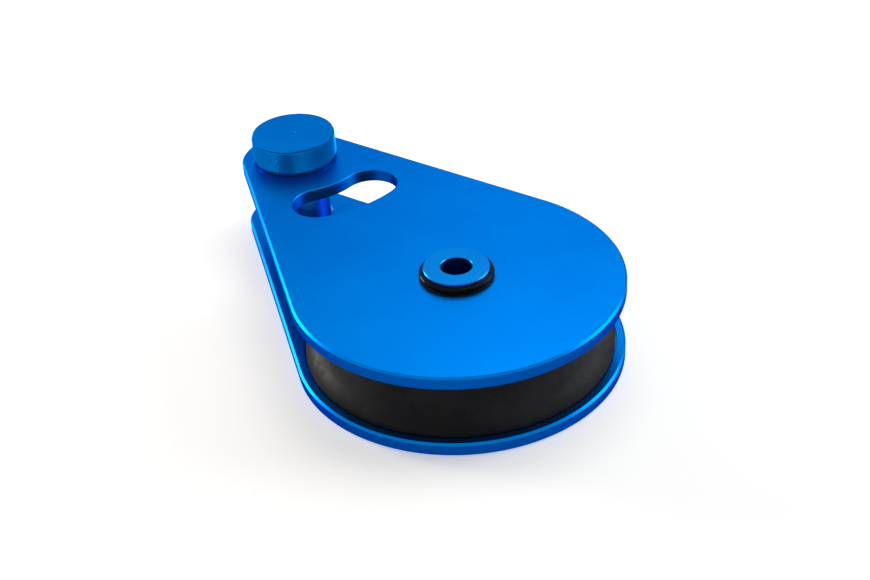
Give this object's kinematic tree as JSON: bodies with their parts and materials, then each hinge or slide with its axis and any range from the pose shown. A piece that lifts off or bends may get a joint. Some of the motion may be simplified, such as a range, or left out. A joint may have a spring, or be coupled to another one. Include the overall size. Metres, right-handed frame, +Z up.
{
  "type": "opening snatch block",
  "caption": "Grooved sheave on a roller bearing between two teardrop side plates; one plate swings open when a knurled quarter-turn knob unlocks it from the anchor post.",
  "frame": {"origin": "on the sheave's axle, at the underside of the fixed side plate", "axes": "+X from the axle to the anchor post and knob, +Z up along the axle, away from the underside"},
  "size_m": [0.259, 0.16, 0.0586],
  "materials": {
    "plate_blue": "blue anodised, satin",
    "pin_blue": "blue anodised, turned",
    "knob_blue": "blue anodised, fine diamond knurl",
    "steel": "turned steel",
    "bearing_steel": "ground bearing steel",
    "black_spring_steel": "black spring steel",
    "sheave_nylon": "machined black polyamide",
    "bush_polymer": "black plain bearing polymer",
    "seal_rubber": "black nitrile rubber"
  },
  "bodies": {
    "base": {"fixed_side_plate": "plate_blue", "axle": "pin_blue", "anchor_post": "pin_blue", "head_dowels": "steel", "retaining_ring": "black_spring_steel", "lower_spacer": "steel", "upper_spacer": "steel", "bearing_inner_ring": "bearing_steel"},
    "sheave": {"sheave": "sheave_nylon", "sheave_circlip": "black_spring_steel", "bearing_outer_ring": "bearing_steel", "lower_bearing_seal": "seal_rubber", "upper_bearing_seal": "seal_rubber"},
    "roller_set": {"bearing_rollers": "bearing_steel"},
    "swing_plate": {"swing_side_plate": "plate_blue", "swing_bush": "bush_polymer", "knob_bush": "bush_polymer"},
    "lock": {"lock_spindle": "steel", "knob": "knob_blue", "knob_washer": "seal_rubber", "knob_grub_screw": "black_spring_steel"}
  },
  "joints": [
    {"name": "sheave_spin", "type": "hinge", "parent": "base", "child": "sheave", "pos_m": [0, 0, 0.022], "axis": [0, 0, 1], "continuous": true},
    {"name": "roller_set_spin", "type": "hinge", "parent": "base", "child": "roller_set", "pos_m": [0, 0, 0.022], "axis": [0, 0, 1], "continuous": true},
    {"name": "plate_swing", "type": "hinge", "parent": "base", "child": "swing_plate", "pos_m": [0, 0, 0.0405], "axis": [0, 0, 1], "continuous": true},
    {"name": "lock_turn", "type": "hinge", "parent": "swing_plate", "child": "lock", "pos_m": [0.15, 0, 0.0405], "axis": [0, 0, 1], "range_deg": [0, 90]}
  ],
  "couplings": [
    {"joint": "roller_set_spin", "follows": "sheave_spin", "ratio": 0.5957}
  ]
}
